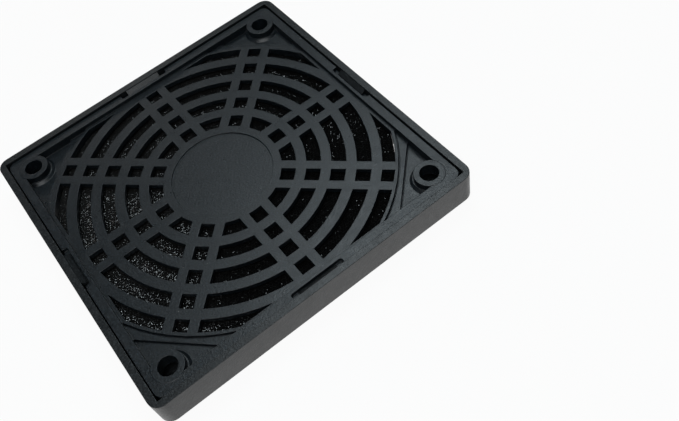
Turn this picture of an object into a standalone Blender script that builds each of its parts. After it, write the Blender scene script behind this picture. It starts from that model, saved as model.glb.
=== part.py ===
"""Fan dust filter for a 120 mm fan: a front cover that clips over a rear guard, with foam between.

The filter lies on the cover's front face, with the side that meets the fan up. Lengths are in
metres, +Z is up, and the origin is the middle of the cover's front face.
"""

import math

import bmesh
import bpy
from mathutils import Matrix, Vector

MM = 0.001

# Fan interface
SCREW_SPACING = 105.0 * MM
SCREW_HOLE_RADIUS = 3.35 * MM

# Front cover: a tray with a grille in its face
SCREW_TO_COVER_SIDE = 10.75 * MM
COVER_HEIGHT = 12.5 * MM
COVER_CORNER_RADIUS = 4.2 * MM
COVER_SKIRT_WALL = 2.65 * MM
COVER_FACE_THICKNESS = 2.4 * MM
COVER_EDGE_BEVEL = 0.5 * MM
COVER_OPENING_MARGIN = 0.8 * MM
COVER_HUB_RADIUS = 21.0 * MM
COVER_RING_WIDTH = 2.2 * MM
COVER_RING_CROWN = 0.6 * MM
COVER_RING_SETBACK = 0.15 * MM
COVER_RING_OVERLAP = 0.1 * MM
COVER_SPOKE_WIDTH = 2.4 * MM
COVER_SPOKE_SETBACK = 1.0 * MM
COVER_BACK_SETBACK = 0.1 * MM
COVER_GATE_RADIUS = 1.1 * MM
COVER_GATE_DEPTH = 1.0 * MM
COVER_GATE_HEIGHT = 2.6 * MM

# Rings and double spokes that both grilles share
RING_COUNT = 4
FIRST_RING_RADIUS = 29.0 * MM
LAST_RING_INTO_BORDER = 0.3 * MM
SPOKE_DIRECTIONS = 4
SPOKE_PAIR_SPACING = 8.5 * MM

# Latches at the middle of each side
LATCH_LENGTH = 14.6 * MM
LATCH_REACH = 1.95 * MM
LATCH_LAND = 0.5 * MM
LATCH_RAMP = 1.3 * MM
LATCH_BELOW_RIM = 0.35 * MM
LATCH_END_GAP = 2.8 * MM
LATCH_SIDE_GAP = 0.4 * MM
LATCH_NOTCH_ROUNDING = 0.8 * MM

# Rear guard: the piece that is screwed to the fan
GUARD_SIDE_GAP = 0.35 * MM
GUARD_FACE_GAP = 0.3 * MM
GUARD_BELOW_RIM = 0.9 * MM
GUARD_CORNER_RADIUS = 2.8 * MM
GUARD_BORDER_WIDTH = 3.25 * MM
GUARD_WALL = 2.25 * MM
GUARD_GRILLE_DEPTH = 1.65 * MM
GUARD_GRILLE_THICKNESS = 2.0 * MM
GUARD_LEDGE = 1.3 * MM
GUARD_RING_WIDTH = 3.8 * MM
GUARD_SPOKE_WIDTH = 3.5 * MM
GUARD_HUB_RADIUS = 21.9 * MM
GUARD_DISC_RADIUS = 18.7 * MM
GUARD_DISC_RECESS = 0.5 * MM

# Corners of the guard
CORNER_GAP_WIDTH = 4.4 * MM
WELL_LEDGE = 0.3 * MM
ARC_WALL_THICKNESS = 0.9 * MM
CORNER_STRIP_WIDTH = 1.9 * MM
CORNER_STRIP_DEPTH = 2.5 * MM
CORNER_PLATE_DEPTH = 3.4 * MM
CORNER_PLATE_THICKNESS = 1.6 * MM
CORNER_GROOVE_WIDTH = 0.4 * MM
CORNER_GROOVE_DEPTH = 0.55 * MM
CORNER_GROOVE_END = 0.25 * MM
BOSS_RADIUS = 5.5 * MM
BOSS_LIP = 0.15 * MM
BOSS_COLLAR_RADIUS = 6.9 * MM
BOSS_COLLAR_TOP_RADIUS = 5.95 * MM
BOSS_COLLAR_HEIGHT = 0.9 * MM

# Foam pad
FOAM_SIDE_GAP = 0.4 * MM
FOAM_FACE_GAP = 0.3 * MM

# How finely round shapes are drawn
RING_FLATNESS = 0.07 * MM
CORNER_SEGMENTS = 6
BOSS_SEGMENTS = 28
CROWN_SEGMENTS = 3
GATE_SEGMENTS = 16

# How far a cutter reaches past what it cuts, and a joined shape into its neighbour
OVERCUT = 1.0 * MM
OVERLAP = 0.6 * MM

# Heights and places that follow from the sizes above
COVER_SIDE = SCREW_SPACING + 2 * SCREW_TO_COVER_SIDE
COVER_INNER_HALF = COVER_SIDE / 2 - COVER_SKIRT_WALL
GUARD_HALF = COVER_INNER_HALF - GUARD_SIDE_GAP
GUARD_BOTTOM = COVER_FACE_THICKNESS + GUARD_FACE_GAP
GUARD_TOP = COVER_HEIGHT - GUARD_BELOW_RIM
GUARD_INNER_HALF = GUARD_HALF - GUARD_BORDER_WIDTH
GUARD_OPENING_HALF = GUARD_INNER_HALF - GUARD_LEDGE
WELL_HALF = GUARD_HALF - GUARD_WALL
LAST_RING_RADIUS = GUARD_OPENING_HALF + LAST_RING_INTO_BORDER
RING_PITCH = (LAST_RING_RADIUS - FIRST_RING_RADIUS) / (RING_COUNT - 1)
CORNER_GAP_RADIUS = LAST_RING_RADIUS + GUARD_RING_WIDTH / 2 + CORNER_GAP_WIDTH
WELL_RADIUS = CORNER_GAP_RADIUS + WELL_LEDGE
ARC_WALL_OUTER = WELL_RADIUS + ARC_WALL_THICKNESS
CORNER_STEP_DISTANCE = ARC_WALL_OUTER + CORNER_STRIP_WIDTH
COVER_OPENING_HALF = LAST_RING_RADIUS + COVER_RING_WIDTH / 2 - COVER_RING_OVERLAP
COVER_OPENING_RADIUS = WELL_RADIUS + COVER_OPENING_MARGIN
GRILLE_TOP = GUARD_TOP - GUARD_GRILLE_DEPTH
GRILLE_BOTTOM = GRILLE_TOP - GUARD_GRILLE_THICKNESS
CORNER_STRIP_TOP = GUARD_TOP - CORNER_STRIP_DEPTH
CORNER_PLATE_TOP = GUARD_TOP - CORNER_PLATE_DEPTH
CORNER_PLATE_BOTTOM = CORNER_PLATE_TOP - CORNER_PLATE_THICKNESS
BOSS_PLACE = SCREW_SPACING / 2
LATCH_TOP = COVER_HEIGHT - LATCH_BELOW_RIM
LATCH_BOTTOM = LATCH_TOP - LATCH_RAMP - LATCH_LAND
LATCH_LEDGE = LATCH_BOTTOM - GUARD_FACE_GAP
ABOVE_ALL = COVER_HEIGHT + OVERCUT
BELOW_ALL = -OVERCUT
QUARTER_TURNS = [quarter * math.pi / 2 for quarter in range(4)]


def clear_scene():
    for old in list(bpy.data.objects):
        bpy.data.objects.remove(old, do_unlink=True)


def new_collection(name, shown):
    collection = bpy.data.collections.new(name)
    collection.hide_render = not shown
    bpy.context.scene.collection.children.link(collection)
    return collection


def new_material(name, colour, roughness):
    material = bpy.data.materials.new(name)
    material.use_nodes = True
    shader = material.node_tree.nodes["Principled BSDF"]
    shader.inputs["Base Color"].default_value = (*colour, 1.0)
    shader.inputs["Roughness"].default_value = roughness
    shader.inputs["Metallic"].default_value = 0.0
    return material


def new_object(name, mesh, collection):
    made = bpy.data.objects.new(name, mesh)
    collection.objects.link(made)
    return made


def arc(radius, start, end, segments):
    """Points on a circle about the origin, both ends included."""
    turns = [start + (end - start) * step / segments for step in range(segments + 1)]
    return [Vector((radius * math.cos(turn), radius * math.sin(turn))) for turn in turns]


def segments_round(radius, turn=2 * math.pi):
    """How many straight segments keep a turn of this radius true to RING_FLATNESS."""
    step = 2 * math.acos(1 - RING_FLATNESS / radius)
    return max(1, math.ceil(turn / step))


def ring_segments(radius):
    """The same for a full circle, in whole eighths of it."""
    return 8 * math.ceil(segments_round(radius) / 8)


def turned(points, turn):
    """The same points, turned about the origin."""
    matrix = Matrix.Rotation(turn, 2)
    return [matrix @ point for point in points]


def all_quarters(points):
    """A shape drawn in the first quadrant, repeated in all four."""
    return [turned(points, turn) for turn in QUARTER_TURNS]


def joined_quarters(points):
    """One outline from the stretch that lies in the first quadrant."""
    return [point for quarter in all_quarters(points) for point in quarter]


def rounded_square(half, radius):
    centre = Vector((half - radius, half - radius))
    corner = arc(radius, 0, math.pi / 2, CORNER_SEGMENTS)
    return joined_quarters([centre + point for point in corner])


def square(half):
    return joined_quarters([Vector((half, half))])


def notched_square(half, notch):
    """A square whose corners are cut back to the lines at notch."""
    return joined_quarters([Vector((half, notch)), Vector((notch, notch)), Vector((notch, half))])


def turn_at(radius, line):
    """Where on a circle a line crosses it. The line is its direction and its offset to the left."""
    direction, offset = line
    return direction + math.asin(offset / radius)


def arc_between_lines(radius, first, last):
    start = turn_at(radius, first)
    end = turn_at(radius, last)
    return arc(radius, start, end, segments_round(radius, end - start))


def arc_between_sides(radius, half):
    """The stretch of a circle in the first quadrant that lies inside a square."""
    return arc_between_lines(radius, (math.pi / 2, -half), (0.0, half))


def gap(inner_radius, outer_radius, first, last):
    """A gap between two circles and two lines."""
    outer = arc_between_lines(outer_radius, first, last)
    inner = arc_between_lines(inner_radius, first, last)
    return outer + inner[::-1]


def clipped_square(half, radius):
    """A square with its corners cut off by a circle."""
    return joined_quarters(arc_between_sides(radius, half))


def corner_outside_circle(half, notch, radius):
    """A square's corner outside a circle, without the block that carries the boss."""
    block = [Vector((notch, half)), Vector((notch, notch)), Vector((half, notch))]
    return arc_between_sides(radius, half) + block


def line_ends(half, distance):
    """The ends of a line across a square's corner, at this distance from the middle."""
    reach = distance / math.cos(math.pi / 4) - half
    return [Vector((half, reach)), Vector((reach, half))]


def corner_past_line(half, notch, distance):
    """A square's corner past a straight line across it, without the block that carries the boss."""
    return line_ends(half, distance) + [Vector((notch, half)), Vector((notch, notch)),
                                        Vector((half, notch))]


def arc_groove(half, radius, width):
    """A narrow stretch outside a circle, across a square's corner."""
    return arc_between_sides(radius + width, half) + arc_between_sides(radius, half)[::-1]


def line_groove(half, distance, width):
    """A narrow stretch past a straight line across a square's corner."""
    return line_ends(half, distance + width) + line_ends(half, distance)[::-1]


def mesh_of(curve_object):
    """The curve's solid as a mesh, with its loose caps welded."""
    graph = bpy.context.evaluated_depsgraph_get()
    mesh = bpy.data.meshes.new_from_object(curve_object.evaluated_get(graph))
    shape = bmesh.new()
    shape.from_mesh(mesh)
    bmesh.ops.remove_doubles(shape, verts=shape.verts, dist=0.001 * MM)
    bmesh.ops.recalc_face_normals(shape, faces=shape.faces)
    shape.to_mesh(mesh)
    shape.free()
    return mesh


def slab(name, outlines, low, high, collection):
    """A flat outline made a solid between two heights. An outline inside another is a hole."""
    curve = bpy.data.curves.new(name, "CURVE")
    curve.dimensions = "2D"
    curve.fill_mode = "BOTH"
    curve.extrude = (high - low) / 2
    for outline in outlines:
        spline = curve.splines.new("POLY")
        spline.points.add(len(outline) - 1)
        for place, point in zip(spline.points, outline):
            place.co = (point.x, point.y, 0.0, 1.0)
        spline.use_cyclic_u = True
    guide = new_object(name + "_outline", curve, collection)
    guide.location.z = (low + high) / 2
    bpy.context.view_layer.update()
    made = new_object(name, mesh_of(guide), collection)
    made.matrix_world = guide.matrix_world
    bpy.data.objects.remove(guide, do_unlink=True)
    bpy.data.curves.remove(curve)
    return made


def box(name, low, high, turn, collection):
    """A block between two corners, turned about the Z axis."""
    shape = bmesh.new()
    size = high - low
    place = Matrix.Translation((low + high) / 2) @ Matrix.Diagonal((*size, 1.0))
    bmesh.ops.create_cube(shape, size=1.0, matrix=Matrix.Rotation(turn, 4, "Z") @ place)
    mesh = bpy.data.meshes.new(name)
    shape.to_mesh(mesh)
    shape.free()
    return new_object(name, mesh, collection)


def cylinder(name, low_radius, high_radius, low, high, segments, collection):
    """An upright cylinder, or a cone frustum where its two radii differ."""
    shape = bmesh.new()
    middle = Matrix.Translation((0.0, 0.0, (low + high) / 2))
    bmesh.ops.create_cone(shape, cap_ends=True, segments=segments, radius1=low_radius,
                          radius2=high_radius, depth=high - low, matrix=middle)
    mesh = bpy.data.meshes.new(name)
    shape.to_mesh(mesh)
    shape.free()
    return new_object(name, mesh, collection)


def turned_ring(name, profile, segments, collection):
    """A closed profile of radius and height points, turned about the Z axis."""
    mesh = bpy.data.meshes.new(name)
    points = [(radius, 0.0, height) for radius, height in profile]
    edges = [(index, (index + 1) % len(points)) for index in range(len(points))]
    mesh.from_pydata(points, edges, [])
    ring = new_object(name, mesh, collection)
    screw = ring.modifiers.new("turn", "SCREW")
    screw.axis = "Z"
    screw.steps = segments
    screw.render_steps = segments
    screw.use_merge_vertices = True
    screw.merge_threshold = 0.0001 * MM
    return ring


def combine(target, tools, operation):
    """Adds one Boolean modifier for each tool, and keeps the tool out of the picture."""
    for tool in tools:
        tool.hide_render = True
        tool.display_type = "WIRE"
        step = target.modifiers.new(tool.name, "BOOLEAN")
        step.operation = operation
        step.solver = "EXACT"
        step.object = tool


def spoke_bars(name, width, low, high, reach, collection):
    """The pairs of parallel bars, each long enough to make a spoke on both sides of the hub."""
    bars = []
    for direction in range(SPOKE_DIRECTIONS):
        turn = math.pi * direction / SPOKE_DIRECTIONS
        for side in (-1, 1):
            middle = side * SPOKE_PAIR_SPACING / 2
            low_corner = Vector((-reach[direction % 2], middle - width / 2, low))
            high_corner = Vector((reach[direction % 2], middle + width / 2, high))
            bars.append(box(f"{name}_{direction}_{side}", low_corner, high_corner, turn, collection))
    return bars


def ring_middles():
    return [FIRST_RING_RADIUS + RING_PITCH * number for number in range(RING_COUNT)]


def crowned_ring_profile(middle):
    """A ring's section: square at the back, rounded at the front."""
    half = COVER_RING_WIDTH / 2
    back = COVER_FACE_THICKNESS - COVER_BACK_SETBACK
    shoulder = COVER_RING_SETBACK + COVER_RING_CROWN
    turns = [math.pi * step / CROWN_SEGMENTS for step in range(CROWN_SEGMENTS + 1)]
    crown = [(middle + half * math.cos(turn), shoulder - COVER_RING_CROWN * math.sin(turn))
             for turn in turns]
    return [(middle + half, back)] + crown + [(middle - half, back)]


def latch_hook(name, turn, collection):
    """A ramped hook on the inside of one skirt wall, its section drawn across the wall."""
    wall = COVER_INNER_HALF
    tip = wall - LATCH_REACH
    land = LATCH_BOTTOM + LATCH_LAND
    section = [(wall + OVERLAP, LATCH_BOTTOM), (wall + OVERLAP, LATCH_TOP), (wall, LATCH_TOP),
               (tip, land), (tip, LATCH_BOTTOM)]
    outline = [Vector(point) for point in section]
    hook = slab(name, [outline], -LATCH_LENGTH / 2, LATCH_LENGTH / 2, collection)
    upright = Matrix(((1, 0, 0, 0), (0, 0, -1, 0), (0, 1, 0, 0), (0, 0, 0, 1)))
    hook.matrix_world = Matrix.Rotation(turn, 4, "Z") @ upright
    return hook


def latch_notch(name, turn, collection):
    """The slot in the guard's border that a hook drops into."""
    half = LATCH_LENGTH / 2 + LATCH_END_GAP
    floor = COVER_INNER_HALF - LATCH_REACH - LATCH_SIDE_GAP
    outside = GUARD_HALF + OVERCUT
    rounding = LATCH_NOTCH_ROUNDING
    inner = [Vector((floor + rounding, rounding - half)) + point
             for point in arc(rounding, math.pi, 3 * math.pi / 2, CORNER_SEGMENTS)]
    mirrored = [Vector((point.x, -point.y)) for point in inner[::-1]]
    outline = mirrored + inner + [Vector((outside, -half)), Vector((outside, half))]
    return slab(name, [turned(outline, turn)], LATCH_LEDGE, ABOVE_ALL, collection)


def front_cover(parts, tools, material):
    cover = slab("front_cover", [rounded_square(COVER_SIDE / 2, COVER_CORNER_RADIUS)],
                 0.0, COVER_HEIGHT, parts)
    bevel_front_edge(cover)
    inside = slab("cover_inside", [square(COVER_INNER_HALF)], COVER_FACE_THICKNESS, ABOVE_ALL, tools)
    opening = slab("cover_opening", [clipped_square(COVER_OPENING_HALF, COVER_OPENING_RADIUS)],
                   BELOW_ALL, COVER_FACE_THICKNESS + OVERCUT, tools)
    combine(cover, [inside, opening], "DIFFERENCE")

    back = COVER_FACE_THICKNESS - COVER_BACK_SETBACK
    hub = cylinder("cover_hub", COVER_HUB_RADIUS, COVER_HUB_RADIUS, 0.0, COVER_FACE_THICKNESS,
                   ring_segments(COVER_HUB_RADIUS), tools)
    rings = [turned_ring(f"cover_ring_{number}", crowned_ring_profile(middle),
                         ring_segments(middle), tools)
             for number, middle in enumerate(ring_middles())]
    reach = (COVER_OPENING_HALF + OVERLAP, COVER_OPENING_RADIUS + OVERLAP)
    spokes = spoke_bars("cover_spoke", COVER_SPOKE_WIDTH, COVER_SPOKE_SETBACK,
                        back - COVER_BACK_SETBACK, reach, tools)
    hooks = [latch_hook(f"latch_hook_{number}", turn, tools)
             for number, turn in enumerate(QUARTER_TURNS)]
    combine(cover, [hub] + spokes + rings + hooks, "UNION")

    gate = cylinder("gate_recess", COVER_GATE_RADIUS, COVER_GATE_RADIUS, -COVER_GATE_DEPTH,
                    COVER_GATE_DEPTH, GATE_SEGMENTS, tools)
    gate.matrix_world = (Matrix.Translation((0.0, COVER_SIDE / 2, COVER_GATE_HEIGHT))
                         @ Matrix.Rotation(math.pi / 2, 4, "X"))
    combine(cover, [gate], "DIFFERENCE")
    finish(cover, material)


def bevel_front_edge(cover):
    """Breaks the sharp edge round the front face."""
    shape = bmesh.new()
    shape.from_mesh(cover.data)
    lowest = min(vertex.co.z for vertex in shape.verts)
    rim = [edge for edge in shape.edges
           if all(abs(vertex.co.z - lowest) < 0.01 * MM for vertex in edge.verts)
           and len(edge.link_faces) == 2
           and any(abs(face.normal.z) < 0.5 for face in edge.link_faces)]
    bmesh.ops.bevel(shape, geom=rim, offset=COVER_EDGE_BEVEL, segments=2, profile=0.5,
                    affect="EDGES")
    shape.to_mesh(cover.data)
    shape.free()


def ring_gaps(inner_radius, outer_radius):
    """The gaps between two rings: one inside each double spoke and one between neighbours."""
    eighth = math.pi / 4
    near = (SPOKE_PAIR_SPACING - GUARD_SPOKE_WIDTH) / 2
    far = (SPOKE_PAIR_SPACING + GUARD_SPOKE_WIDTH) / 2
    outlines = []
    for number in range(8):
        turn = number * eighth
        outlines.append(gap(inner_radius, outer_radius, (turn, -near), (turn, near)))
        outlines.append(gap(inner_radius, outer_radius, (turn, far), (turn + eighth, -far)))
    return outlines


def corner_gaps(inner_radius, outer_radius):
    """The gaps outside the last ring, which the straight border cuts off."""
    diagonal = math.pi / 4
    near = (SPOKE_PAIR_SPACING - GUARD_SPOKE_WIDTH) / 2
    far = (SPOKE_PAIR_SPACING + GUARD_SPOKE_WIDTH) / 2
    right_side = (math.pi / 2, -GUARD_OPENING_HALF)
    back_side = (0.0, GUARD_OPENING_HALF)
    stretches = [(right_side, (diagonal, -far)), ((diagonal, -near), (diagonal, near)),
                 ((diagonal, far), back_side)]
    return [outline for first, last in stretches
            for outline in all_quarters(gap(inner_radius, outer_radius, first, last))]


def grille_gaps(tools):
    half = GUARD_RING_WIDTH / 2
    middles = ring_middles()
    inner_edges = [GUARD_HUB_RADIUS] + [middle + half for middle in middles[:-1]]
    outlines = [outline for inner, middle in zip(inner_edges, middles)
                for outline in ring_gaps(inner, middle - half)]
    outlines += corner_gaps(middles[-1] + half, CORNER_GAP_RADIUS)
    return slab("guard_gaps", outlines, GRILLE_BOTTOM - OVERCUT, GRILLE_TOP + OVERCUT, tools)


def rear_guard(parts, tools, material):
    guard = slab("rear_guard", [rounded_square(GUARD_HALF, GUARD_CORNER_RADIUS)],
                 GUARD_BOTTOM, GUARD_TOP, parts)
    recess = slab("guard_recess", [notched_square(GUARD_INNER_HALF, BOSS_PLACE)],
                  GRILLE_TOP, ABOVE_ALL, tools)
    strips = slab("corner_strips",
                  all_quarters(corner_outside_circle(GUARD_INNER_HALF, BOSS_PLACE,
                                                     ARC_WALL_OUTER + CORNER_GROOVE_WIDTH / 2)),
                  CORNER_STRIP_TOP, ABOVE_ALL + OVERCUT, tools)
    plates = slab("corner_plates",
                  all_quarters(corner_past_line(GUARD_INNER_HALF, BOSS_PLACE,
                                                CORNER_STEP_DISTANCE + CORNER_GROOVE_WIDTH / 2)),
                  CORNER_PLATE_TOP, ABOVE_ALL + 2 * OVERCUT, tools)
    groove_half = GUARD_INNER_HALF - CORNER_GROOVE_END
    arc_grooves = slab("arc_grooves", all_quarters(
        arc_groove(groove_half, ARC_WALL_OUTER, CORNER_GROOVE_WIDTH)),
        CORNER_STRIP_TOP - CORNER_GROOVE_DEPTH, ABOVE_ALL + 3 * OVERCUT, tools)
    line_grooves = slab("line_grooves", all_quarters(
        line_groove(groove_half, CORNER_STEP_DISTANCE, CORNER_GROOVE_WIDTH)),
        CORNER_PLATE_TOP - CORNER_GROOVE_DEPTH, ABOVE_ALL + 4 * OVERCUT, tools)
    well = slab("foam_well", [clipped_square(WELL_HALF, WELL_RADIUS)],
                BELOW_ALL, GRILLE_BOTTOM, tools)
    under = [screw_pocket(number, turn, tools) for number, turn in enumerate(QUARTER_TURNS)]
    combine(guard, [recess, well, grille_gaps(tools), strips, plates, arc_grooves, line_grooves]
            + under, "DIFFERENCE")

    corners = [Vector((x * BOSS_PLACE, y * BOSS_PLACE, 0.0)) for x in (-1, 1) for y in (-1, 1)]
    bosses = []
    holes = []
    for number, place in enumerate(corners):
        boss = turned_ring(f"boss_{number}", boss_profile(), BOSS_SEGMENTS, tools)
        hole = cylinder(f"screw_hole_{number}", SCREW_HOLE_RADIUS, SCREW_HOLE_RADIUS,
                        BELOW_ALL, ABOVE_ALL, BOSS_SEGMENTS, tools)
        boss.location = place
        hole.location = place
        bosses.append(boss)
        holes.append(hole)
    combine(guard, bosses, "UNION")
    disc = cylinder("hub_disc", GUARD_DISC_RADIUS, GUARD_DISC_RADIUS, GRILLE_TOP - GUARD_DISC_RECESS,
                    ABOVE_ALL, ring_segments(GUARD_DISC_RADIUS), tools)
    notches = [latch_notch(f"latch_notch_{number}", turn, tools)
               for number, turn in enumerate(QUARTER_TURNS)]
    combine(guard, holes + [disc] + notches, "DIFFERENCE")
    finish(guard, material)


def boss_profile():
    """Half a boss's section, from its top down: a straight side on a collar that narrows upwards."""
    top = GUARD_TOP + BOSS_LIP
    collar_top = CORNER_PLATE_TOP + BOSS_COLLAR_HEIGHT
    base = CORNER_PLATE_BOTTOM + OVERLAP
    inside = SCREW_HOLE_RADIUS - OVERLAP
    return [(BOSS_RADIUS, top), (BOSS_RADIUS, collar_top), (BOSS_COLLAR_TOP_RADIUS, collar_top),
            (BOSS_COLLAR_RADIUS, CORNER_PLATE_TOP), (BOSS_COLLAR_RADIUS, base),
            (inside, base), (inside, top)]


def screw_pocket(number, turn, tools):
    """The hollow under one corner plate, open to the front, where a screw's head sits."""
    outline = arc_between_sides(ARC_WALL_OUTER, WELL_HALF) + [Vector((WELL_HALF, WELL_HALF))]
    return slab(f"screw_pocket_{number}", [turned(outline, turn)], BELOW_ALL,
                CORNER_PLATE_BOTTOM, tools)


def foam_pad(parts, material):
    half = WELL_HALF - FOAM_SIDE_GAP
    radius = WELL_RADIUS - FOAM_SIDE_GAP
    foam = slab("foam_pad", [clipped_square(half, radius)], COVER_FACE_THICKNESS + FOAM_FACE_GAP,
                GRILLE_BOTTOM - FOAM_FACE_GAP, parts)
    finish(foam, material)


def finish(made, material):
    """Applies a piece's modifiers, so that its edges can be told apart, then shades and colours it."""
    graph = bpy.context.evaluated_depsgraph_get()
    made.data = bpy.data.meshes.new_from_object(made.evaluated_get(graph))
    made.modifiers.clear()
    made.data.materials.clear()
    made.data.materials.append(material)
    made.data.shade_smooth()
    made.data.set_sharp_from_angle(angle=math.radians(30))


def main():
    clear_scene()
    parts = new_collection("fan_dust_filter", True)
    tools = new_collection("construction_tools", False)
    front_cover(parts, tools, new_material("cover_plastic", (0.028, 0.030, 0.033), 0.55))
    foam_pad(parts, new_material("open_cell_foam", (0.010, 0.010, 0.010), 0.95))
    rear_guard(parts, tools, new_material("guard_plastic", (0.028, 0.031, 0.034), 0.55))


main()
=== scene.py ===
"""Looks for the fan dust filter: moulded black plastic, open-cell foam, a white table and a camera.

Lengths are in metres. The filter lies on its front cover, with the side that meets the fan up.
"""

import math

import bmesh
import bpy
import numpy as np
from mathutils import Euler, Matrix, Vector


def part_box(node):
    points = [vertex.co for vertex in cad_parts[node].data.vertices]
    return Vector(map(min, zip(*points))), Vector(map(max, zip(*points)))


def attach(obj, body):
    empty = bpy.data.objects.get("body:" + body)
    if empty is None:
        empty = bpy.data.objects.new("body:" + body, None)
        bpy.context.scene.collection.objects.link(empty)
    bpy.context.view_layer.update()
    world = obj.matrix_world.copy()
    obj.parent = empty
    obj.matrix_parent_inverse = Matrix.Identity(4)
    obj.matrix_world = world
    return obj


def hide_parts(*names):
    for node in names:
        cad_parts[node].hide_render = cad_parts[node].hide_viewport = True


MM = 0.001
SEED = 7

# Camera, at the photograph's angle
CAMERA_PLACE = (-0.039738, -0.175537, 0.217713)
CAMERA_TURN_DEG = (34.1854, 8.8298, -37.3767)
CAMERA_LENS_MM = 40.0954
SENSOR_WIDTH_MM = 36.0
NEAREST_SEEN = 0.01
FARTHEST_SEEN = 50.0

# Edges of the moulded pieces, in the mesh and in the shading alone
EDGE_ROUNDING = 0.10 * MM
EDGE_SEGMENTS = 2
SHARP_ANGLE_DEG = 30.0
SHADED_ROUNDING = 0.22 * MM
SHADED_ROUNDING_SAMPLES = 6
WELD_DISTANCE = 0.002 * MM
FLAT_ANGLE_DEG = 0.3
FACE_NORMAL_WEIGHT = 100

# Noise patterns: cells per metre, detail, roughness and distortion
FLOW_NOISE = (60.0, 2.0, 0.5, 0.6)
PATCH_NOISE = (280.0, 3.0, 0.6, 0.0)
RIPPLE_NOISE = (1300.0, 3.0, 0.6, 0.0)
MOTTLE_NOISE = (1700.0, 3.0, 0.65, 0.0)
GRAIN_NOISE = (2900.0, 3.0, 0.7, 0.0)
FINE_GRAIN_NOISE = (6500.0, 2.0, 0.6, 0.0)
CORE_NOISE = (1400.0, 3.0, 0.7, 0.0)
STRUT_NOISE = (1500.0, 2.0, 0.5, 0.0)
STRUT_GRAIN_NOISE = (4000.0, 2.0, 0.6, 0.0)
CUT_END_NOISE = (900.0, 2.0, 0.5, 0.0)
CUT_END_GRAIN_NOISE = (5000.0, 2.0, 0.6, 0.0)
USUAL_NOISE_RANGE = (0.3, 0.7)

# Bumps: strength and depth
RIPPLE_BUMP = (0.8, 0.10 * MM)
GRAIN_BUMP = (0.45, 0.03 * MM)
FINE_GRAIN_BUMP = (0.30, 0.012 * MM)
CORE_BUMP = (0.8, 0.3 * MM)
STRUT_BUMP = (0.5, 0.05 * MM)
CUT_END_BUMP = (0.3, 0.02 * MM)

# Plastic. A tone is a multiple of the plastic's colour, and a range is one of noise values
COVER_COLOUR = (0.0075, 0.0092, 0.0102)
GUARD_COLOUR = (0.0052, 0.0083, 0.0108)
FLOW_TONES = (0.93, 1.07)
DARK_TONE = 0.6
DARK_RANGE = (0.35, 0.72)
PALE_TONE = 3.4
PALE_RANGE = (0.52, 0.70)
PLASTIC_ROUGHNESS = (0.29, 0.42)
PATCH_ROUGHNESS = (-0.05, 0.04)
PLASTIC_IOR = 1.5

# Dust on the plastic: a speck fades over its edge, and only cells with a high random value keep one
DUST_COLOUR = (0.16, 0.16, 0.155)
DUST_CELLS_PER_METRE = 420.0
DUST_SPECK_EDGE = (0.05, 0.10)
DUST_KEPT_VALUES = (0.965, 0.985)

# Looks of the foam: its dark inside, its struts and their cut ends
FOAM_COLOUR = (0.0022, 0.0022, 0.0022)
FOAM_TONES = (0.4, 1.6)
FOAM_RANGE = (0.4, 0.7)
FOAM_ROUGHNESS = (0.85, 1.0)
FOAM_SPECULAR = 0.05
STRUT_COLOUR = (0.0022, 0.0022, 0.0021)
STRUT_PALE_TONE = 2.5
STRUT_RANGE = (0.40, 0.65)
STRUT_ROUGHNESS = (0.5, 0.8)
STRUT_SPECULAR = 0.12
CUT_END_TONES = (1.5, 4.0)
CUT_END_ROUGHNESS = (0.11, 0.21)
CUT_END_IOR = 1.8
CUT_END_SPECULAR = 1.0
# Painted sheen on the foam: a paler colour standing in for a soft reflection, rising along a direction
# toward the -X, +Y corner between a start and an end
PAINTED_SHEEN_FOAM_COLOUR = (0.0110, 0.0110, 0.0105)
SHEEN_DIRECTION = (-0.72, 0.69, 0.0)
SHEEN_START = -20.0 * MM
SHEEN_END = 50.0 * MM

# Shape of the foam: a pitted pad under a net of struts on both faces
CELL_JITTER = 0.42
LATTICE_MARGIN = 2
SPARE_ROWS = 4
SPARE_COLUMNS = 5
CORE_SETBACK = 0.55 * MM
CORE_GRID = 0.9 * MM
CORE_CELL = 1.8 * MM
CORE_PIT_DEPTH = 0.8 * MM
CORE_PIT_STEEPNESS = 1.6
CORE_PIT_CURVE = 1.5
CORE_PIT_LEAST_SHARE = 0.75
BACK_CELL = 1.10 * MM
FRONT_CELL = 1.35 * MM
STRUT_RADIUS = 0.075 * MM
STRUT_SIDES = 3
NET_DEPTH = 0.45 * MM
NET_MARGIN = 0.25 * MM
NET_INNER_RADIUS = 20.5 * MM
MISSING_STRUTS = 0.06
CUT_END_SIZE = 0.15 * MM
CUT_END_REACH = (0.6, 1.2)
CUT_END_CORNER_TURNS = (0.0, 2.1, 4.2)
CUT_END_TILT_DEG = 14.0
CUT_END_JITTER = 0.2 * MM
SAME_PLACE_DIGITS = 7

# Share of the cut ends that are glossy, at headings round the middle
SHINE_HEADINGS_DEG = (0, 60, 100, 140, 160, 222, 230, 320, 345, 360)
SHINE_SHARES = (0.05, 0.35, 0.55, 0.65, 1.0, 1.0, 0.08, 0.02, 0.12, 0.05)
OUTER_SHINE_RADIUS = 53.5 * MM
OUTER_SHINE_START_DEG = 222
OUTER_SHINE_END_DEG = 262
OUTER_SHINE_SHARE = 0.7

# Waves of that share along X and Y: radians per metre, radians at the middle, and how strong they are
SHINE_WAVE_RATES = (210.0, 170.0)
SHINE_WAVE_STARTS = (1.3, 0.4)
SHINE_WAVE_MEAN = 0.85
SHINE_WAVE_SIZE = 0.4
SHINE_WAVE_LEAST = 0.4

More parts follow.
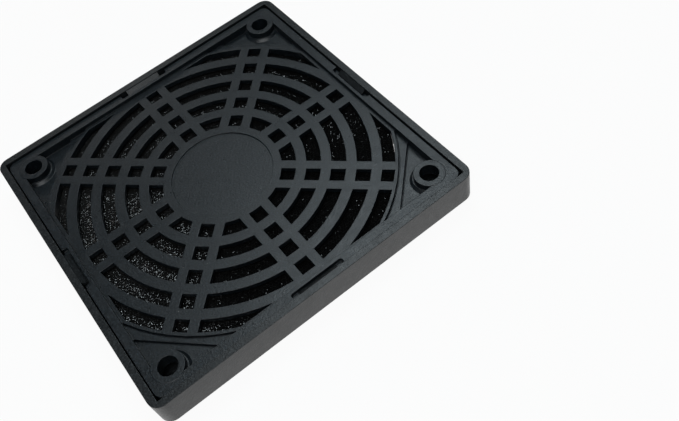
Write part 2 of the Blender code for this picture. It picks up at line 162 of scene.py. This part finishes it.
# Table and light
TABLE_SIZE = 6.0
TABLE_COLOUR = (0.93, 0.93, 0.92)
SHADOW_SHARE = 0.07
WHITE = (1.0, 1.0, 1.0, 1.0)
WORLD_COLOUR = (0.86, 0.97, 1.06)
WORLD_STRENGTH = 0.08
KEY_PLACE = (0.36, 0.42, 1.12)
KEY_SIZE = 0.6
KEY_POWER = 4.0
KEY_COLOUR = (0.84, 0.95, 1.0)
FILL_PLACE = (-0.30, -0.42, 1.08)
FILL_SIZE = 1.0
FILL_POWER = 6.5
FILL_COLOUR = (0.95, 0.98, 1.0)
BACK_PLACE = (0.10, 1.10, 0.50)
BACK_SIZE = 0.4
BACK_POWER = 0.8
BACK_COLOUR = (1.0, 0.99, 0.97)


def new_material(name):
    """An empty material, with its node tree and its output node."""
    material = bpy.data.materials.new(name)
    material.use_nodes = True
    tree = material.node_tree
    tree.nodes.clear()
    return material, tree, tree.nodes.new("ShaderNodeOutputMaterial")


def new_node(tree, kind, inputs=None, **settings):
    """A node with its settings, and with its inputs set to a value or linked to a socket."""
    node = tree.nodes.new(kind)
    for name, value in settings.items():
        setattr(node, name, value)
    for name, value in (inputs or {}).items():
        if isinstance(value, bpy.types.NodeSocket):
            tree.links.new(value, node.inputs[name])
        else:
            node.inputs[name].default_value = value
    return node


def object_place(tree):
    """The place on the object, in metres."""
    return new_node(tree, "ShaderNodeTexCoord").outputs["Object"]


def noise(tree, place, pattern):
    """The value of a noise pattern at a place."""
    scale, detail, roughness, distortion = pattern
    node = new_node(tree, "ShaderNodeTexNoise", {
        "Vector": place, "Scale": scale, "Detail": detail, "Roughness": roughness,
        "Distortion": distortion})
    return node.outputs["Fac"]


def remap(tree, value, old_range, new_range=(0.0, 1.0)):
    """A value carried from one range to another, and held inside the new one."""
    node = new_node(tree, "ShaderNodeMapRange", {
        "Value": value, "From Min": old_range[0], "From Max": old_range[1],
        "To Min": new_range[0], "To Max": new_range[1]})
    return node.outputs["Result"]


def combined(tree, operation, first, second):
    """The result of a Math node with two values."""
    return new_node(tree, "ShaderNodeMath", {0: first, 1: second}, operation=operation).outputs[0]


def mixed_colour(tree, share, first, second):
    """The first colour where the share is 0, the second where it is 1."""
    node = new_node(tree, "ShaderNodeMix", data_type="RGBA")
    for socket, value in zip((node.inputs[0], node.inputs[6], node.inputs[7]), (share, first, second)):
        if isinstance(value, bpy.types.NodeSocket):
            tree.links.new(value, socket)
        else:
            socket.default_value = value if isinstance(value, float) else (*value, 1.0)
    return node.outputs[2]


def scaled(colour, factor):
    """A colour with each channel times a factor."""
    return tuple(channel * factor for channel in colour)


def bumped(tree, height, bump, normal=None):
    """The shading normal over a height pattern, on top of another normal where one is given."""
    strength, depth = bump
    inputs = {"Strength": strength, "Distance": depth, "Height": height}
    if normal is not None:
        inputs["Normal"] = normal
    return new_node(tree, "ShaderNodeBump", inputs).outputs["Normal"]


def set_surface(tree, output, tone, roughness, normal, constants):
    """Puts a principled shader on the output, with its constants on its own sockets."""
    shader = new_node(tree, "ShaderNodeBsdfPrincipled", {
        "Base Color": tone, "Roughness": roughness, "Normal": normal})
    for name, value in constants.items():
        shader.inputs[name].default_value = value
    tree.links.new(shader.outputs["BSDF"], output.inputs["Surface"])


def plastic(name, colour):
    """Black moulded plastic: a rippled, finely grained skin, faint flow marks and a little dust."""
    material, tree, output = new_material(name)
    place = object_place(tree)
    mottle = noise(tree, place, MOTTLE_NOISE)
    tone = mixed_colour(tree, remap(tree, noise(tree, place, FLOW_NOISE), USUAL_NOISE_RANGE),
                        scaled(colour, FLOW_TONES[0]), scaled(colour, FLOW_TONES[1]))
    tone = mixed_colour(tree, remap(tree, mottle, DARK_RANGE), scaled(colour, DARK_TONE), tone)
    tone = mixed_colour(tree, remap(tree, mottle, PALE_RANGE), tone, scaled(colour, PALE_TONE))
    tone = mixed_colour(tree, dust_specks(tree, place), tone, DUST_COLOUR)
    roughness = combined(
        tree, "ADD", remap(tree, mottle, USUAL_NOISE_RANGE, PLASTIC_ROUGHNESS),
        remap(tree, noise(tree, place, PATCH_NOISE), USUAL_NOISE_RANGE, PATCH_ROUGHNESS))
    normal = new_node(tree, "ShaderNodeBevel", {"Radius": SHADED_ROUNDING},
                      samples=SHADED_ROUNDING_SAMPLES).outputs["Normal"]
    for pattern, bump in ((RIPPLE_NOISE, RIPPLE_BUMP), (GRAIN_NOISE, GRAIN_BUMP),
                          (FINE_GRAIN_NOISE, FINE_GRAIN_BUMP)):
        normal = bumped(tree, noise(tree, place, pattern), bump, normal)
    set_surface(tree, output, tone, roughness, normal, {"IOR": PLASTIC_IOR})
    return material


def dust_specks(tree, place):
    """Where specks of dust lie on the plastic: small dots, kept in one cell in forty or so."""
    cells = new_node(tree, "ShaderNodeTexVoronoi", {
        "Vector": place, "Scale": DUST_CELLS_PER_METRE}, feature="F1")
    chosen = new_node(tree, "ShaderNodeSeparateColor", {"Color": cells.outputs["Color"]}).outputs["Red"]
    near = remap(tree, cells.outputs["Distance"], DUST_SPECK_EDGE, (1.0, 0.0))
    return combined(tree, "MULTIPLY", near, remap(tree, chosen, DUST_KEPT_VALUES))


def foam_painted_sheen(tree, place):
    """How strongly a painted sheen covers the foam: a paler colour standing in for a soft reflection,
    rising toward the -X, +Y corner.
    """
    along = new_node(tree, "ShaderNodeVectorMath", {0: place, 1: SHEEN_DIRECTION}, operation="DOT_PRODUCT")
    return remap(tree, along.outputs["Value"], (SHEEN_START, SHEEN_END))


def foam_core(name):
    """The dark inside of the foam, which gives back almost no light, under a painted sheen toward its -X,
    +Y corner.
    """
    material, tree, output = new_material(name)
    place = object_place(tree)
    cells = noise(tree, place, CORE_NOISE)
    tone = mixed_colour(tree, remap(tree, cells, FOAM_RANGE), scaled(FOAM_COLOUR, FOAM_TONES[0]),
                        scaled(FOAM_COLOUR, FOAM_TONES[1]))
    # Painted sheen: paler toward the -X, +Y corner, standing in for a soft reflection
    tone = mixed_colour(tree, foam_painted_sheen(tree, place), tone, PAINTED_SHEEN_FOAM_COLOUR)
    roughness = remap(tree, cells, USUAL_NOISE_RANGE, FOAM_ROUGHNESS)
    set_surface(tree, output, tone, roughness, bumped(tree, cells, CORE_BUMP),
                {"Specular IOR Level": FOAM_SPECULAR})
    return material


def foam_strut(name):
    """The foam's struts: dull black with paler flecks, under a painted sheen toward the -X, +Y corner."""
    material, tree, output = new_material(name)
    place = object_place(tree)
    fleck = remap(tree, noise(tree, place, STRUT_NOISE), STRUT_RANGE)
    tone = mixed_colour(tree, fleck, STRUT_COLOUR, scaled(STRUT_COLOUR, STRUT_PALE_TONE))
    # Painted sheen: paler toward the -X, +Y corner, standing in for a soft reflection
    tone = mixed_colour(tree, foam_painted_sheen(tree, place), tone, PAINTED_SHEEN_FOAM_COLOUR)
    roughness = remap(tree, fleck, (0.0, 1.0), STRUT_ROUGHNESS)
    normal = bumped(tree, noise(tree, place, STRUT_GRAIN_NOISE), STRUT_BUMP)
    set_surface(tree, output, tone, roughness, normal, {"Specular IOR Level": STRUT_SPECULAR})
    return material


def foam_cut_end(name):
    """The flat ends of cut struts, which catch the light."""
    material, tree, output = new_material(name)
    place = object_place(tree)
    patch = noise(tree, place, CUT_END_NOISE)
    tone = mixed_colour(tree, patch, scaled(STRUT_COLOUR, CUT_END_TONES[0]),
                        scaled(STRUT_COLOUR, CUT_END_TONES[1]))
    roughness = remap(tree, patch, USUAL_NOISE_RANGE, CUT_END_ROUGHNESS)
    normal = bumped(tree, noise(tree, place, CUT_END_GRAIN_NOISE), CUT_END_BUMP)
    set_surface(tree, output, tone, roughness, normal,
                {"IOR": CUT_END_IOR, "Specular IOR Level": CUT_END_SPECULAR})
    return material


def table_surface(name):
    """White table. Most of what the camera sees of it is plain white, so that its shadows stay faint."""
    material, tree, output = new_material(name)
    ray = new_node(tree, "ShaderNodeLightPath").outputs
    seen = combined(tree, "MAXIMUM", ray["Is Camera Ray"], ray["Is Glossy Ray"])
    seen = combined(tree, "MAXIMUM", seen, ray["Is Transmission Ray"])
    share = combined(tree, "MULTIPLY", seen, 1.0 - SHADOW_SHARE)
    lit = new_node(tree, "ShaderNodeBsdfDiffuse", {"Color": (*TABLE_COLOUR, 1.0)})
    white = new_node(tree, "ShaderNodeEmission", {"Color": WHITE, "Strength": 1.0})
    both = new_node(tree, "ShaderNodeMixShader", {
        0: share, 1: lit.outputs["BSDF"], 2: white.outputs["Emission"]})
    tree.links.new(both.outputs["Shader"], output.inputs["Surface"])
    return material


def round_edges(part):
    """Welds a solid's facets, breaks its sharp edges and shades the rest smooth."""
    part.data.shade_smooth()
    custom = part.data.attributes.get("custom_normal")
    if custom:
        part.data.attributes.remove(custom)
    weld = part.modifiers.new("weld", "WELD")
    weld.merge_threshold = WELD_DISTANCE
    flat = part.modifiers.new("flat", "DECIMATE")
    flat.decimate_type = "DISSOLVE"
    flat.angle_limit = math.radians(FLAT_ANGLE_DEG)
    bevel = part.modifiers.new("rounding", "BEVEL")
    bevel.limit_method = "ANGLE"
    bevel.angle_limit = math.radians(SHARP_ANGLE_DEG)
    bevel.width = EDGE_ROUNDING
    bevel.segments = EDGE_SEGMENTS
    bevel.use_clamp_overlap = False
    bevel.loop_slide = True
    normals = part.modifiers.new("normals", "WEIGHTED_NORMAL")
    normals.mode = "FACE_AREA"
    normals.weight = FACE_NORMAL_WEIGHT


def cell_pattern(x, y, pitch, random):
    """Nearest and second nearest distance, in pitches, to the points of a jittered square lattice."""
    columns = int(np.ceil(np.ptp(x) / pitch)) + 2 * LATTICE_MARGIN + 1
    rows = int(np.ceil(np.ptp(y) / pitch)) + 2 * LATTICE_MARGIN + 1
    jitter = random.uniform(-CELL_JITTER, CELL_JITTER, (columns, rows, 2))
    u = (x - x.min()) / pitch + LATTICE_MARGIN
    v = (y - y.min()) / pitch + LATTICE_MARGIN
    column = np.floor(u).astype(int)
    row = np.floor(v).astype(int)
    distances = []
    for i in (-1, 0, 1):
        for j in (-1, 0, 1):
            near = jitter[column + i, row + j]
            across = column + i + 0.5 + near[..., 0] - u
            along = row + j + 0.5 + near[..., 1] - v
            distances.append(np.hypot(across, along))
    nearest = np.sort(np.array(distances), axis=0)
    return nearest[0], nearest[1]


def foam_outline():
    """Half the pad's width, and how far its clipped corners lie from its middle."""
    points = np.array([vertex.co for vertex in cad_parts["foam_pad"].data.vertices])
    return float(np.abs(points[:, 0]).max()), float(np.hypot(points[:, 0], points[:, 1]).max())


def pitted_face(height, inward, half, random):
    """A square face of points whose heights are pitted, and whose edges lie at the pits' depth."""
    count = int(round(2 * half / CORE_GRID))
    line = np.linspace(-half, half, count + 1)
    x, y = np.meshgrid(line, line, indexing="ij")
    first, second = cell_pattern(x, y, CORE_CELL, random)
    pit = np.clip((second - first) * CORE_PIT_STEEPNESS, 0.0, 1.0)
    depth = inward * CORE_PIT_DEPTH
    z = height + depth * pit ** CORE_PIT_CURVE * random.uniform(CORE_PIT_LEAST_SHARE, 1.0, x.shape)
    for edge in (np.s_[[0, -1], :], np.s_[:, [0, -1]]):
        z[edge] = height + depth
    return x, y, z


def rim_of(grid):
    """The points round a square grid's rim, in order."""
    last = len(grid) - 1
    forward = range(last)
    backward = range(last, 0, -1)
    return ([grid[i][0] for i in forward] + [grid[last][j] for j in forward]
            + [grid[i][last] for i in backward] + [grid[0][j] for j in backward])


def foam_body(material):
    """The pad's dark inside: two pitted faces that are joined round their rim."""
    low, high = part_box("foam_pad")
    half, radius = foam_outline()
    random = np.random.default_rng(SEED)
    mesh = bmesh.new()
    rims = []
    for height, inward in ((high.z - CORE_SETBACK, -1.0), (low.z + CORE_SETBACK, 1.0)):
        x, y, z = pitted_face(height, inward, half, random)
        scale = np.minimum(1.0, radius / np.maximum(np.hypot(x, y), MM))
        points = np.stack([x * scale, y * scale, z], axis=-1)
        grid = [[mesh.verts.new(point) for point in row] for row in points]
        for i in range(len(grid) - 1):
            for j in range(len(grid) - 1):
                quad = [grid[i][j], grid[i + 1][j], grid[i + 1][j + 1], grid[i][j + 1]]
                mesh.faces.new(quad if inward < 0 else quad[::-1])
        rims.append(rim_of(grid))
    upper, lower = rims
    for index in range(len(upper)):
        after = (index + 1) % len(upper)
        mesh.faces.new([upper[index], lower[index], lower[after], upper[after]])
    data = bpy.data.meshes.new("foam_pad_cells")
    mesh.to_mesh(data)
    mesh.free()
    data.shade_smooth()
    return add_piece("foam_pad_cells", data, material)


def strut_ends(half, pitch, random):
    """Both ends of each strut between the cells of a jittered triangular lattice, a pitch apart.

    The lattice's points are cell middles, and a strut's end is the middle of three of them. The ends'
    heights lie between 0 and -1.
    """
    rise = pitch * math.sin(math.pi / 3)
    rows = int(2 * half / rise) + SPARE_ROWS
    columns = int(2 * half / pitch) + SPARE_COLUMNS
    row, column = np.meshgrid(np.arange(rows), np.arange(columns), indexing="ij")
    across = (column + 0.5 * (row % 2) - 1) * pitch - half
    lattice = np.stack([across, (row - 1) * rise - half], axis=-1)
    cells = lattice + random.uniform(-CELL_JITTER, CELL_JITTER, lattice.shape) * pitch
    row, column = row[:-1, :-2], column[:-1, :-2]
    right = column + row % 2
    upward = (cells[row, column] + cells[row, column + 1] + cells[row + 1, right]) / 3
    downward = (cells[row + 1, right] + cells[row + 1, right + 1] + cells[row, column + 1]) / 3
    upward, downward = (np.concatenate([points, -random.uniform(0, 1, points.shape[:2] + (1,))], axis=-1)
                        for points in (upward, downward))
    above = upward[row[:-1, :-1] + 1, right[:-1, :-1]]
    starts = [upward, downward[:, :-1], downward[:-1, :-1]]
    ends = [downward, upward[:, 1:], above]
    return [np.concatenate([points.reshape(-1, 3) for points in group]) for group in (starts, ends)]


def bars(starts, ends, random):
    """Corners and faces of thin bars between pairs of points, each at a random roll."""
    along = ends - starts
    along /= np.linalg.norm(along, axis=1, keepdims=True)
    side = np.cross(along, (0.0, 0.0, 1.0))
    side /= np.linalg.norm(side, axis=1, keepdims=True)
    over = np.cross(side, along)
    count = len(starts)
    turns = random.uniform(0, 2 * math.pi, (count, 1)) + np.arange(STRUT_SIDES) * 2 * math.pi / STRUT_SIDES
    sideways = np.cos(turns)[..., None] * side[:, None]
    offsets = STRUT_RADIUS * (sideways + np.sin(turns)[..., None] * over[:, None])
    corners = np.concatenate([starts[:, None] + offsets, ends[:, None] + offsets], axis=1)
    first = np.arange(STRUT_SIDES)
    after = (first + 1) % STRUT_SIDES
    quads = np.stack([first, first + STRUT_SIDES, after + STRUT_SIDES, after], axis=-1)
    faces = quads[None] + 2 * STRUT_SIDES * np.arange(count)[:, None, None]
    return corners.reshape(-1, 3), faces.reshape(-1, 4)


def foam_net(name, height, outward, pitch, material, seed):
    """The net of struts on one face of the pad, and the points where its struts may be cut."""
    random = np.random.default_rng(seed)
    half, radius = foam_outline()
    starts, ends = strut_ends(half, pitch, random)
    flat = np.stack([starts[:, :2], ends[:, :2]])
    far = np.hypot(flat[..., 0], flat[..., 1])
    kept = (np.abs(flat).max(axis=(0, 2)) < half - NET_MARGIN) & (far.max(axis=0) < radius - NET_MARGIN)
    kept &= (far.min(axis=0) > NET_INNER_RADIUS) & (random.uniform(0, 1, len(starts)) > MISSING_STRUTS)
    starts, ends = starts[kept], ends[kept]
    for points in (starts, ends):
        points[:, 2] = height + outward * (points[:, 2] * NET_DEPTH - STRUT_RADIUS)
    corners, faces = bars(starts, ends, random)
    data = bpy.data.meshes.new(name)
    data.from_pydata(corners.tolist(), [], faces.tolist())
    data.shade_flat()
    cuts = [starts, (starts + ends) / 2, (3 * starts + ends) / 4, (starts + 3 * ends) / 4]
    return add_piece(name, data, material), np.concatenate(cuts)


def shine(points):
    """The share of cut ends that are glossy, which goes by their heading and comes in patches."""
    heading = np.degrees(np.arctan2(points[:, 1], points[:, 0])) % 360
    share = np.interp(heading, SHINE_HEADINGS_DEG, SHINE_SHARES)
    outer = np.hypot(points[:, 0], points[:, 1]) > OUTER_SHINE_RADIUS
    outer &= (heading > OUTER_SHINE_START_DEG) & (heading < OUTER_SHINE_END_DEG)
    share = np.where(outer, OUTER_SHINE_SHARE, share)
    across, along = (np.sin(points[:, axis] * rate + start) for axis, (rate, start)
                     in enumerate(zip(SHINE_WAVE_RATES, SHINE_WAVE_STARTS)))
    waves = SHINE_WAVE_MEAN + SHINE_WAVE_SIZE * (across * along)
    return share * np.clip(waves, SHINE_WAVE_LEAST, 1.0)


def cut_ends(name, cuts, outward, material, seed):
    """Small glossy facets where struts are cut: each a triangle that is tilted a little at random."""
    random = np.random.default_rng(seed)
    points = np.unique(cuts.round(SAME_PLACE_DIGITS), axis=0)
    points = points[random.uniform(0, 1, len(points)) < shine(points)]
    points = points + (0.0, 0.0, outward * STRUT_RADIUS)
    count = len(points)
    points[:, :2] += random.uniform(-CUT_END_JITTER, CUT_END_JITTER, (count, 2))
    tilt = np.radians(CUT_END_TILT_DEG) * np.sqrt(random.uniform(0, 1, count))
    heading = random.uniform(0, 2 * math.pi, count)
    slope = np.tan(tilt)[:, None] * np.stack([np.cos(heading), np.sin(heading)], axis=-1)
    turns = random.uniform(0, 2 * math.pi, (count, 1)) + np.array(CUT_END_CORNER_TURNS)
    reach = CUT_END_SIZE * random.uniform(*CUT_END_REACH, (count, 3))
    flat = np.stack([np.cos(turns), np.sin(turns)], axis=-1) * reach[..., None]
    rise = np.einsum("nkc,nc->nk", flat, slope)
    corners = points[:, None] + np.concatenate([flat, rise[..., None]], axis=-1)
    if outward < 0:
        corners = corners[:, ::-1]
    faces = np.arange(3 * count).reshape(-1, 3)
    data = bpy.data.meshes.new(name)
    data.from_pydata(corners.reshape(-1, 3).tolist(), [], faces.tolist())
    data.shade_flat()
    return add_piece(name, data, material)


def add_piece(name, data, material):
    """Gives a mesh its material and puts it in the scene."""
    data.materials.append(material)
    piece = bpy.data.objects.new(name, data)
    bpy.context.scene.collection.objects.link(piece)
    return piece


def make_table():
    """The white table that the filter lies on."""
    mesh = bmesh.new()
    bmesh.ops.create_grid(mesh, x_segments=1, y_segments=1, size=TABLE_SIZE / 2)
    data = bpy.data.meshes.new("table")
    mesh.to_mesh(data)
    mesh.free()
    table = add_piece("table", data, table_surface("white_table"))


def make_world():
    """Soft light from all round, which the camera sees as plain white."""
    world = bpy.data.worlds.new("studio")
    world.use_nodes = True
    tree = world.node_tree
    tree.nodes.clear()
    output = tree.nodes.new("ShaderNodeOutputWorld")
    ray = new_node(tree, "ShaderNodeLightPath").outputs
    soft = new_node(tree, "ShaderNodeBackground", {
        "Color": (*WORLD_COLOUR, 1.0), "Strength": WORLD_STRENGTH}).outputs["Background"]
    white = new_node(tree, "ShaderNodeBackground", {
        "Color": WHITE, "Strength": 1.0}).outputs["Background"]
    both = new_node(tree, "ShaderNodeMixShader", {0: ray["Is Camera Ray"], 1: soft, 2: white})
    tree.links.new(both.outputs["Shader"], output.inputs["Surface"])
    bpy.context.scene.world = world


def add_area_light(name, place, size, power, colour):
    """A round lamp that is turned toward the filter."""
    lamp = bpy.data.lights.new(name, "AREA")
    lamp.shape = "DISK"
    lamp.size = size
    lamp.energy = power
    lamp.color = colour
    light = bpy.data.objects.new(name, lamp)
    light.location = place
    light.rotation_euler = (-Vector(place)).to_track_quat("-Z", "Y").to_euler()
    bpy.context.scene.collection.objects.link(light)


def make_camera():
    """The camera, at the place and with the lens that were fitted to the photograph."""
    lens = bpy.data.cameras.new("camera")
    lens.sensor_width = SENSOR_WIDTH_MM
    lens.sensor_fit = "HORIZONTAL"
    lens.lens = CAMERA_LENS_MM
    lens.clip_start = NEAREST_SEEN
    lens.clip_end = FARTHEST_SEEN
    camera = bpy.data.objects.new("camera", lens)
    camera.location = CAMERA_PLACE
    camera.rotation_euler = Euler([math.radians(turn) for turn in CAMERA_TURN_DEG], "XYZ")
    bpy.context.scene.collection.objects.link(camera)
    bpy.context.scene.camera = camera


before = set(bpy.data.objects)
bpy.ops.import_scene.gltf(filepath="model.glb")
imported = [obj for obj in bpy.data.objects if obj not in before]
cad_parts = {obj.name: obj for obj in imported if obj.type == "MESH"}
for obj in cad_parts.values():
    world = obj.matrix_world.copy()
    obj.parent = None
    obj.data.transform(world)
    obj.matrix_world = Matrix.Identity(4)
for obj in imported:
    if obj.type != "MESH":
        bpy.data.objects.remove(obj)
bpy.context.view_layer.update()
make_camera()
make_table()
make_world()
add_area_light("key", KEY_PLACE, KEY_SIZE, KEY_POWER, KEY_COLOUR)
add_area_light("fill", FILL_PLACE, FILL_SIZE, FILL_POWER, FILL_COLOUR)
add_area_light("back", BACK_PLACE, BACK_SIZE, BACK_POWER, BACK_COLOUR)

for node, material in (("front_cover", plastic("cover_plastic_look", COVER_COLOUR)),
                       ("rear_guard", plastic("guard_plastic_look", GUARD_COLOUR))):
    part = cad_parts[node]
    part.data.materials.clear()
    part.data.materials.append(material)
    round_edges(part)

foam_low, foam_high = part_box("foam_pad")
strut = foam_strut("foam_strut_look")
cut_end = foam_cut_end("foam_glint_look")
pad = foam_body(foam_core("foam_core_look"))
nets = []
for face, skin, outward, cell in (("back", foam_high.z, 1, BACK_CELL),
                                  ("front", foam_low.z, -1, FRONT_CELL)):
    height = skin - outward * STRUT_RADIUS
    net, cuts = foam_net(f"foam_net_{face}", height, outward, cell, strut, SEED + outward)
    ends = cut_ends(f"foam_cut_ends_{face}", cuts, outward, cut_end, SEED + 2 * outward)
    nets += [net, ends]
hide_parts("foam_pad")
for piece in [pad] + nets:
    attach(piece, "root")

bpy.context.scene.view_settings.view_transform = "Standard"
